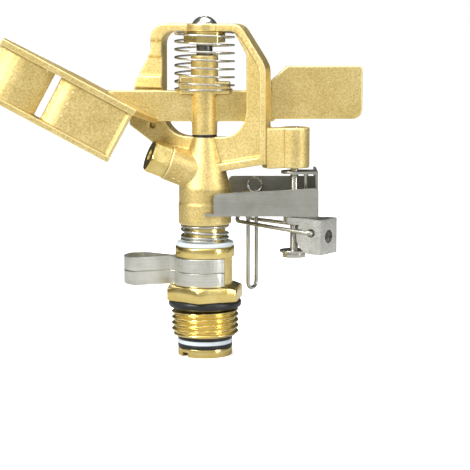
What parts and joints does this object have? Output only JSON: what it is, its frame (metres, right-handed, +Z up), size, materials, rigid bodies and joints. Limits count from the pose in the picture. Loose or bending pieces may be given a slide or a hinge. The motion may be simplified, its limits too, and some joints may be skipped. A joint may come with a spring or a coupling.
{
  "type": "impact sprinkler",
  "caption": "Part-circle impact sprinkler head: threaded bearing sleeve, swivel tube, bridge body with nozzle, sprung drive arm with spoon, trip bracket and two stop collars.",
  "frame": {"origin": "on the swivel axis, at the gasket's lower face, where the rim of the riser seats", "axes": "+Z up along the swivel axis, away from the riser; +X towards the paddle of the drive arm; -Y towards the side that the nozzle and spoon are turned to"},
  "size_m": [0.1182, 0.0257, 0.1056],
  "materials": {
    "cast_brass": "sand cast, satin",
    "turned_brass": "turned, bright",
    "stainless": "drawn wire and turned, bright",
    "sheet_steel": "rolled sheet, brushed",
    "sintered_steel": "tumbled, matt",
    "dark_steel": "dark, oiled",
    "rubber": "matt",
    "nylon": "satin"
  },
  "bodies": {
    "base": {"bearing_sleeve": "turned_brass", "thread_gasket": "rubber"},
    "head": {"swivel_tube": "turned_brass", "seal_washer_lower": "rubber", "wear_washer": "nylon", "seal_washer_upper": "rubber", "thrust_washer": "nylon", "sand_guard_spring": "stainless", "body_casting": "cast_brass", "nozzle": "turned_brass", "arm_pin": "dark_steel", "pin_screw": "stainless", "top_bushing": "turned_brass", "arm_spring": "stainless", "arm_washer": "rubber", "trip_pin": "stainless", "trip_pin_washer": "stainless"},
    "arm": {"drive_arm": "cast_brass", "arm_bush_lower": "turned_brass", "arm_bush_upper": "turned_brass"},
    "bracket": {"trip_bracket": "sheet_steel", "trip_post": "stainless", "trip_spring": "stainless"},
    "block": {"trip_block": "sintered_steel", "block_grub_screw": "dark_steel"},
    "wire": {"trip_wire": "stainless"},
    "upper_stop": {"upper_collar": "sheet_steel"},
    "lower_stop": {"lower_collar": "sheet_steel"}
  },
  "joints": [
    {"name": "head_swivel", "type": "hinge", "parent": "base", "child": "head", "pos_m": [0, 0, 0], "axis": [0, 0, 1], "range_deg": [-115, 115]},
    {"name": "arm_swing", "type": "hinge", "parent": "head", "child": "arm", "pos_m": [0, 0, 0.06], "axis": [0, 0, 1], "range_deg": [0, 100], "stiffness_Nm_per_rad": 0.012, "springref_deg": -51.57},
    {"name": "block_swing", "type": "hinge", "parent": "head", "child": "block", "pos_m": [0.0278, -0.002, 0.025], "axis": [0, 0, 1], "range_deg": [-30, 0]},
    {"name": "bracket_shift", "type": "hinge", "parent": "head", "child": "bracket", "pos_m": [0.0278, -0.002, 0.03], "axis": [0, 0, 1], "range_deg": [0, 4.5]},
    {"name": "wire_flip", "type": "hinge", "parent": "block", "child": "wire", "pos_m": [0.03534, -0.00728, 0.02445], "axis": [-0.5736, -0.8192, 0], "range_deg": [0, 170]},
    {"name": "upper_collar_turn", "type": "hinge", "parent": "base", "child": "upper_stop", "pos_m": [0, 0, 0.0137], "axis": [0, 0, 1], "range_deg": [-115, 115]},
    {"name": "lower_collar_turn", "type": "hinge", "parent": "base", "child": "lower_stop", "pos_m": [0, 0, 0.0093], "axis": [0, 0, 1], "range_deg": [-115, 115]}
  ],
  "couplings": [
    {"joint": "bracket_shift", "follows": "block_swing", "ratio": -0.15}
  ]
}
